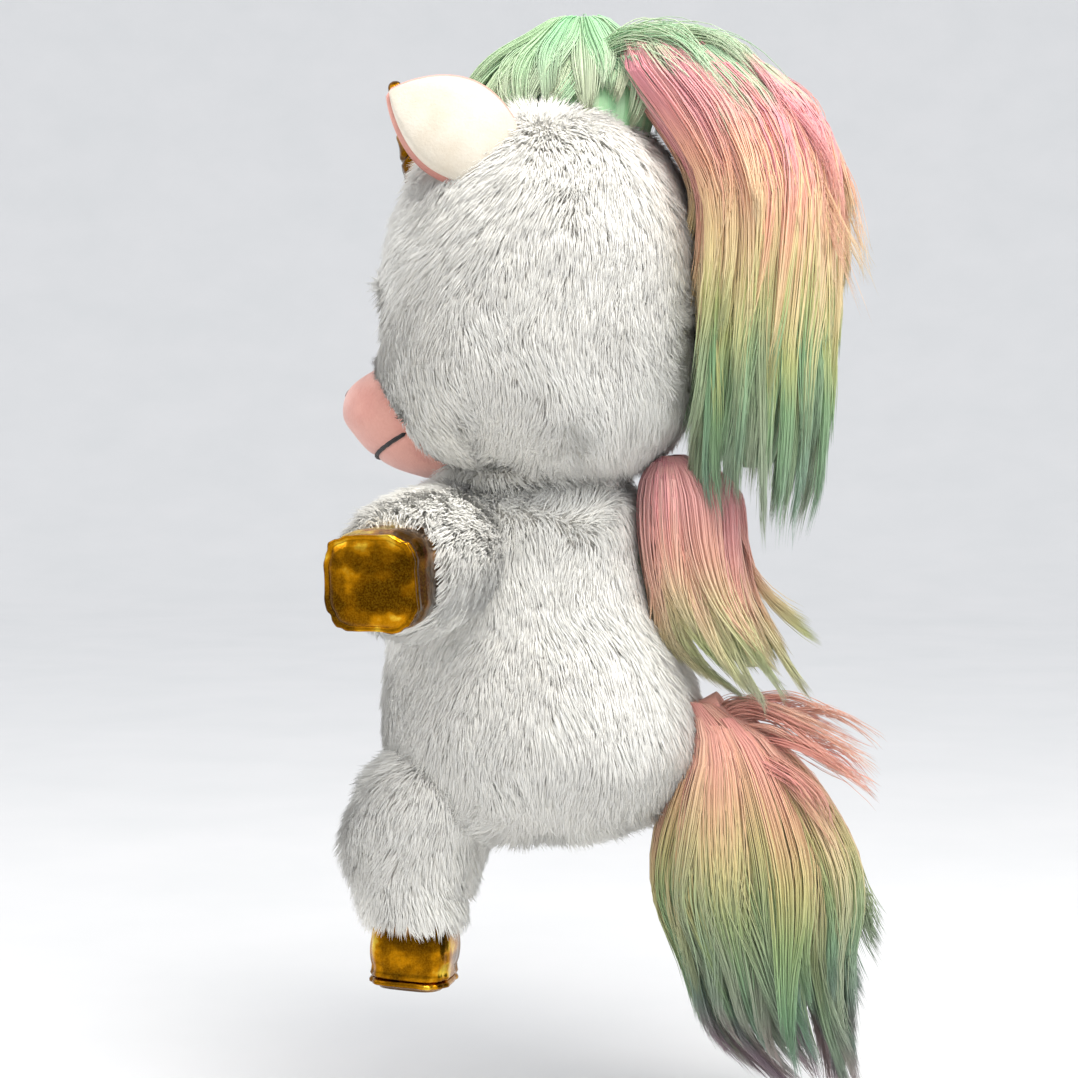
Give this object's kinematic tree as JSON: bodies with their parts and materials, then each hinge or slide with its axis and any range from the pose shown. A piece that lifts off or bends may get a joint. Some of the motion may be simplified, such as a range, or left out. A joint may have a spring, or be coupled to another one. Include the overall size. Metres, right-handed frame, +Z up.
{
  "type": "plush unicorn",
  "caption": "Soft stuffed unicorn with white fur, pastel mane and tail, foil hooves and horn, and limbs that swing at their seams.",
  "frame": {"origin": "centre of the flat seat panel that the toy sits on, on its underside", "axes": "+Z up, -Y the way the toy faces, +X its own left"},
  "size_m": [0.2316, 0.211, 0.422],
  "materials": {
    "white_fur": "matte",
    "ear_minky": "matte",
    "pink_minky": "matte",
    "gold_foil": "gloss",
    "mane_hair": "satin",
    "hair_band": "matte",
    "stuffing": "matte",
    "pellets": "matte",
    "black_thread": "satin",
    "nostril_thread": "satin",
    "eye_plastic": "gloss",
    "washer_plastic": "matte"
  },
  "bodies": {
    "torso": {"torso_left_panel": "white_fur", "torso_right_panel": "white_fur", "belly_panel": "white_fur", "seat_panel": "white_fur", "torso_stuffing": "stuffing", "pellet_bag": "pellets", "neck_mane": "mane_hair", "neck_mane_strip": "hair_band"},
    "neck": {"neck_stuffing": "stuffing"},
    "head": {"head_left_panel": "white_fur", "head_right_panel": "white_fur", "head_gusset": "white_fur", "head_stuffing": "stuffing", "muzzle": "pink_minky", "chin": "pink_minky", "mouth_thread": "black_thread", "left_nostril_thread": "nostril_thread", "right_nostril_thread": "nostril_thread", "left_eye": "eye_plastic", "right_eye": "eye_plastic", "left_eye_washer": "washer_plastic", "right_eye_washer": "washer_plastic", "horn": "gold_foil", "horn_stuffing": "stuffing", "crown_tuft": "mane_hair", "head_mane": "mane_hair", "head_mane_strip": "hair_band"},
    "left_ear": {"left_ear_back": "ear_minky", "left_ear_lining": "pink_minky"},
    "right_ear": {"right_ear_back": "ear_minky", "right_ear_lining": "pink_minky"},
    "left_arm": {"left_arm_sleeve": "white_fur", "left_arm_hoof_wall": "gold_foil", "left_arm_sole": "gold_foil", "left_arm_stuffing": "stuffing"},
    "right_arm": {"right_arm_sleeve": "white_fur", "right_arm_hoof_wall": "gold_foil", "right_arm_sole": "gold_foil", "right_arm_stuffing": "stuffing"},
    "left_leg": {"left_leg_sleeve": "white_fur", "left_leg_hoof_wall": "gold_foil", "left_leg_sole": "gold_foil", "left_leg_stuffing": "stuffing"},
    "right_leg": {"right_leg_sleeve": "white_fur", "right_leg_hoof_wall": "gold_foil", "right_leg_sole": "gold_foil", "right_leg_stuffing": "stuffing"},
    "tail": {"tail_base": "hair_band", "tail_hair": "mane_hair"}
  },
  "joints": [
    {"name": "head_nod", "type": "hinge", "parent": "torso", "child": "neck", "pos_m": [0, -0.006, 0.146], "axis": [-1, 0, 0], "range_deg": [-5, 7]},
    {"name": "head_turn", "type": "hinge", "parent": "neck", "child": "head", "pos_m": [0, -0.006, 0.146], "axis": [0, 0, 1], "range_deg": [-24, 24]},
    {"name": "left_arm_swing", "type": "hinge", "parent": "torso", "child": "left_arm", "pos_m": [0.037, -0.03, 0.117], "axis": [0, 0, -1], "range_deg": [-10, 35]},
    {"name": "right_arm_swing", "type": "hinge", "parent": "torso", "child": "right_arm", "pos_m": [-0.037, -0.03, 0.117], "axis": [0, 0, 1], "range_deg": [-10, 35]},
    {"name": "left_leg_swing", "type": "hinge", "parent": "torso", "child": "left_leg", "pos_m": [0.032, -0.042, 0.016], "axis": [-1, 0, 0], "range_deg": [-8, 44]},
    {"name": "right_leg_swing", "type": "hinge", "parent": "torso", "child": "right_leg", "pos_m": [-0.032, -0.042, 0.016], "axis": [-1, 0, 0], "range_deg": [-25, 25]},
    {"name": "tail_swing", "type": "hinge", "parent": "torso", "child": "tail", "pos_m": [0, 0.062, 0.05], "axis": [1, 0, 0], "range_deg": [-4, 35]},
    {"name": "left_ear_flap", "type": "hinge", "parent": "head", "child": "left_ear", "pos_m": [0.0475, -0.0135, 0.27], "axis": [-0.296, 0.4306, 0.8526], "range_deg": [-10, 10], "stiffness_Nm_per_rad": 0.05},
    {"name": "right_ear_flap", "type": "hinge", "parent": "head", "child": "right_ear", "pos_m": [-0.0475, -0.0135, 0.27], "axis": [-0.296, -0.4306, -0.8526], "range_deg": [-10, 10], "stiffness_Nm_per_rad": 0.05}
  ]
}
